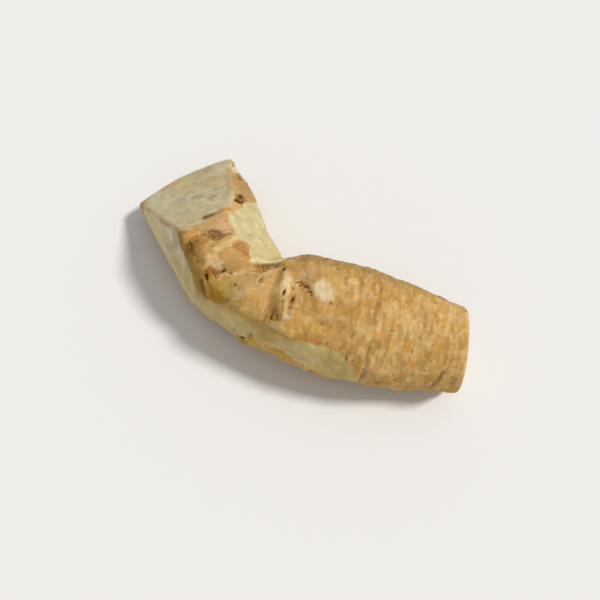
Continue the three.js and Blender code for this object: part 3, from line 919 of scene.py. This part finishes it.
FLECKS = [
    ((-43.5, -12), (7, 7), 0.9),
    ((-40.5, -16.5), (8, 10), 0.6, 60),
    ((-36.2, -5.7), (8, 4.4), 1, 8),
    ((-32.6, -19.6), (5.4, 3.6), 0.7),
    ((-5.2, -32.4), (4.2, 7), 0.9),
    ((0.4, -28), (2.2, 8), 0.6),
    ((4.4, -20.6), (6.5, 4), 0.6, -20),
    ((-32, 24), (8, 16), 0.5, 20),
    ((-13.4, -13.5), (8, 7), 0.8),
    ((9.6, -39), (15, 3.2), 0.6, -4),
    ((-16.2, -38, 18), (8, 5), 0.6),
]


def strewn(thin, places):
    """A thin scatter over the whole root, thicker in the given places."""
    for at, size, thick, *turn in places:
        thin = np.maximum(thin, thick * oval(at, size, *turn, soft=0.6))
    return thin * (1 - flesh)


crumbs = strewn(0.25 * clouds(0.1, 0.6, P, 7, 34), CRUMBS)
flecks = strewn(0.45 * clouds(0.1, 0.6, P, 6, 35), FLECKS)

# --- The finished mesh ---

P = P + N * height[:, None]
P[:, 2] -= 1.6 * under_fold
P = np.clip(P, *(np.array(corner) / MM for corner in cad_box))
mesh.vertices.foreach_set("co", (P * MM).ravel())
mesh.polygons.foreach_set("use_smooth", np.ones(len(mesh.polygons), bool))
mesh.update()


def put(name, values, kind="FLOAT", field="value"):
    attribute = mesh.attributes.new(name, kind, "POINT")
    attribute.data.foreach_set(field, np.ascontiguousarray(values, np.float32).ravel())


for coat, colours in coats.items():
    put(coat, np.insert(colours, 3, 1, axis=1), "FLOAT_COLOR", "color")
put("cut", flesh)
put("across", flesh_across)
put("hollow", dark)
put("crumbs", crumbs)
put("flecks", flecks)
put("grain", G * MM, "FLOAT_VECTOR", "vector")

root = placed("root_piece", mesh)

# --- The material ---


class Tree:
    """A short way to add nodes and join them."""

    def __init__(self, material):
        material.use_nodes = True
        self.tree = material.node_tree
        self.tree.nodes.clear()

    def add(self, kind, **settings):
        made = self.tree.nodes.new("ShaderNode" + kind)
        inputs = settings.pop("inputs", {})
        for key, value in settings.items():
            setattr(made, key, value)
        for key, value in inputs.items():
            self.feed(made.inputs[key], value)
        return made

    def feed(self, socket, value):
        """Joins another node's output to a socket, or sets the socket to a plain value."""
        if isinstance(value, bpy.types.NodeSocket):
            self.tree.links.new(value, socket)
        else:
            socket.default_value = value

    def attribute(self, name, output="Fac"):
        return self.add("Attribute", attribute_name=name).outputs[output]

    def maths(self, operation, a, b):
        return self.add("Math", operation=operation, inputs={0: a, 1: b}).outputs[0]

    def plus(self, a, b):
        return self.maths("ADD", a, b)

    def minus(self, a, b):
        return self.maths("SUBTRACT", a, b)

    def times(self, *factors):
        product = factors[0]
        for factor in factors[1:]:
            product = self.maths("MULTIPLY", product, factor)
        return product

    def blend(self, share, a, b):
        """The number a where share is 0, and b where it is 1."""
        return self.add("Mix", data_type="FLOAT", inputs={0: share, 2: a, 3: b}).outputs[0]

    def between(self, value, low, high, to_low=0, to_high=1):
        given = {0: value, 1: low, 2: high, 3: to_low, 4: to_high}
        return self.add("MapRange", interpolation_type="SMOOTHSTEP", inputs=given).outputs[0]

    def mixed(self, share, a, b, way="MIX"):
        """The colour a where share is 0, and b where it is 1."""
        made = self.add("Mix", data_type="RGBA", blend_type=way)
        sockets = {s.identifier: s for s in made.inputs}
        for key, value in (("Factor_Float", share), ("A_Color", a), ("B_Color", b)):
            self.feed(sockets[key], value)
        return next(s for s in made.outputs if s.identifier == "Result_Color")

    def stretched(self, where, sizes):
        return self.add("VectorMath", operation="MULTIPLY", inputs={0: where, 1: sizes}).outputs[0]

    def noise(self, where, size, detail=3, roughness=0.55):
        """Noise whose swells are size millimetres long."""
        scale = 1 / (size * MM)
        given = {"Vector": where, "Scale": scale, "Detail": detail, "Roughness": roughness}
        return self.add("TexNoise", inputs=given).outputs["Fac"]


material = bpy.data.materials.new("horseradish_skin_and_flesh")
t = Tree(material)
skin_in = t.attribute("skin", "Color")
flesh_in = t.attribute("flesh", "Color")
cut_in = t.attribute("cut")
across_in = t.attribute("across")
hollow_in = t.attribute("hollow")
crumbs_in = t.attribute("crumbs")
flecks_in = t.attribute("flecks")
grain_in = t.attribute("grain", "Vector")
place = t.add("TexCoord").outputs["Object"]
elsewhere = t.add("VectorMath", operation="ADD", inputs={0: place, 1: (0.37, 0.21, 0.55)}).outputs[0]


def spots(pattern, share, gain, low, high):
    """Spots of a noise pattern, more of them where share is high."""
    return t.between(t.plus(pattern, t.times(share, gain)), low, high)


# Skin: corky mottling, streaks that run round the root, and a net of fine cracks.
blotch = t.noise(place, 2.6, 4, 0.6)
speck = t.noise(place, 0.7, 3, 0.6)
fine = t.noise(elsewhere, 0.9, 2, 0.55)
coarse = t.noise(elsewhere, 1.5, 3, 0.6)
ring_streak = t.noise(t.stretched(grain_in, (1, 0.22, 0.22)), 1.1, 3, 0.6)
cells = t.add(
    "TexVoronoi",
    feature="DISTANCE_TO_EDGE",
    inputs={"Vector": t.stretched(grain_in, (1, 0.45, 0.45)), "Scale": 1 / (1.5 * MM)},
).outputs["Distance"]
crack = t.times(t.between(cells, 0, 0.09, 1, 0), t.between(blotch, 0.45, 0.65))
skin_value = t.times(
    t.between(blotch, 0.3, 0.7, 0.9, 1.08),
    t.between(speck, 0.3, 0.7, 0.93, 1.06),
    t.between(ring_streak, 0.3, 0.7, 0.91, 1.07),
    t.minus(1, t.times(crack, 0.25)),
)

# Flesh: long fibres down the pared side, hardly any on the cuts across them, and small vessels.
fibre = t.noise(t.stretched(grain_in, (0.07, 1, 1)), 0.6, 3, 0.6)
fibre = t.blend(t.times(across_in, 0.8), fibre, 0.5)
vessel = t.noise(place, 0.9, 3, 0.6)
cloud = t.noise(place, 5, 3, 0.5)
flesh_value = t.times(
    t.between(fibre, 0.3, 0.7, 0.96, 1.03),
    t.between(cloud, 0.3, 0.7, 0.89, 1.08),
    t.between(vessel, 0.3, 0.75, 1.04, 0.91),
)


def shaded(colour, value):
    grey = t.add("CombineColor", inputs={0: value, 1: value, 2: value}).outputs[0]
    return t.mixed(1, colour, grey, "MULTIPLY")


def opaque(*colour):
    return (*srgb(*colour), 1)


warm = t.between(t.noise(place, 3.4, 3), 0.5, 0.7, 0, 0.35)
skin_colour = t.mixed(warm, shaded(skin_in, skin_value), opaque(190, 138, 76))
crumb = spots(fine, crumbs_in, 0.3, 0.64, 0.86)
fleck = spots(speck, flecks_in, 0.2, 0.66, 0.8)
skin_colour = t.mixed(t.times(crumb, 0.65), skin_colour, opaque(216, 196, 156))
skin_colour = t.mixed(t.times(fleck, 0.65), skin_colour, opaque(122, 82, 28))


def ragged(share, pattern, by, low, high):
    """A mask whose edge follows a noise pattern by that much."""
    return t.between(t.plus(share, t.times(t.minus(pattern, 0.5), by)), low, high)


bared = ragged(cut_in, coarse, 0.8, 0.2, 0.8)
colour = t.mixed(bared, skin_colour, shaded(flesh_in, flesh_value))
lining = ragged(hollow_in, fine, 0.5, 0.15, 0.9)
colour = t.mixed(t.times(lining, 0.92), colour, opaque(88, 50, 2))

skin_rough = t.between(blotch, 0.3, 0.7, 0.58, 0.78)
flesh_rough = t.between(vessel, 0.3, 0.7, 0.42, 0.58)
roughness = t.blend(bared, skin_rough, flesh_rough)


def summed(*layers):
    """Layers of bump added up, each a pattern and its share."""
    total = 0
    for pattern, share in layers:
        total = t.plus(total, t.times(pattern, share))
    return total


skin_bump = summed((speck, 0.35), (ring_streak, 0.35), (crack, -0.4), (crumb, 0.3), (fleck, -0.35))
flesh_bump = summed((fibre, 0.22), (vessel, 0.15))
bump_height = t.blend(bared, skin_bump, flesh_bump)
bump = t.add("Bump", inputs={"Strength": 0.55, "Distance": 0.25 * MM, "Height": bump_height})

gloss = t.times(t.blend(bared, 0.18, 0.32), t.minus(1, t.times(lining, 0.9)))
surface_inputs = {"Base Color": colour, "Roughness": roughness, "Specular IOR Level": gloss}
shader = t.add("BsdfPrincipled", inputs={**surface_inputs, "Normal": bump.outputs[0]})
t.add("OutputMaterial", inputs={"Surface": shader.outputs[0]})
mesh.materials.clear()
mesh.materials.append(material)
mesh.polygons.foreach_set("material_index", np.zeros(len(mesh.polygons), np.int32))

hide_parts("horseradish_root")
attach(root, "root")

# --- Floor, light and camera ---

FLOOR_WIDTH = 6
bpy.ops.mesh.primitive_plane_add(size=FLOOR_WIDTH, location=(0, 0, 0))
floor = bpy.context.object
floor.name = "floor"
pale = bpy.data.materials.new("pale_floor")
f = Tree(pale)
matt = {"Base Color": opaque(228, 227, 226), "Roughness": 1, "Specular IOR Level": 0}
f.add("OutputMaterial", inputs={"Surface": f.add("BsdfPrincipled", inputs=matt).outputs[0]})
floor.data.materials.append(pale)

world = bpy.data.worlds.new("studio")
bpy.context.scene.world = world
w = Tree(world)
seen = w.add("LightPath").outputs["Is Camera Ray"]
sky = w.add("Background", inputs={"Color": (1, 0.99, 0.97, 1), "Strength": 0.48})
backdrop = w.add("Background", inputs={"Color": opaque(237, 235, 231), "Strength": 1})
both = w.add("MixShader", inputs={0: seen, 1: sky.outputs[0], 2: backdrop.outputs[0]})
w.add("OutputWorld", inputs={"Surface": both.outputs[0]})

LAMP_SPREAD = np.radians(11.4)  # the wider, the softer the shadow
LAMP_WAY = Vector((0.58, 0.22, 0.78)).normalized()
LAMP_AWAY = 2.4
lamp_data = bpy.data.lights.new("key", "SUN")
lamp_data.angle = LAMP_SPREAD
lamp_data.energy = 2.57
lamp_data.color = (1, 0.985, 0.955)
lamp = placed("key", lamp_data)
lamp.location = LAMP_WAY * LAMP_AWAY
lamp.rotation_euler = LAMP_WAY.to_track_quat("Z", "Y").to_euler()

CAMERA_AT = Vector((0.0032, -0.12566, 0.27433))
LOOKS_DOWN = np.radians(67)
LEANS = np.radians(12.68)
LENS = 39.84  # millimetres, on a sensor of this width
SENSOR = 36
forward = Vector((0, np.cos(LOOKS_DOWN), -np.sin(LOOKS_DOWN)))
level_up = Vector((0, np.sin(LOOKS_DOWN), np.cos(LOOKS_DOWN)))
right = Vector((1, 0, 0)) * np.cos(LEANS) + level_up * np.sin(LEANS)
up = -Vector((1, 0, 0)) * np.sin(LEANS) + level_up * np.cos(LEANS)
camera_data = bpy.data.cameras.new("camera")
camera_data.sensor_width = SENSOR
camera_data.lens = LENS
camera_data.clip_start = 0.01
camera = placed("camera", camera_data)
turn = Matrix((right, up, -forward)).transposed().to_4x4()
camera.matrix_world = Matrix.Translation(CAMERA_AT) @ turn
bpy.context.scene.camera = camera

bpy.context.scene.view_settings.view_transform = "Standard"
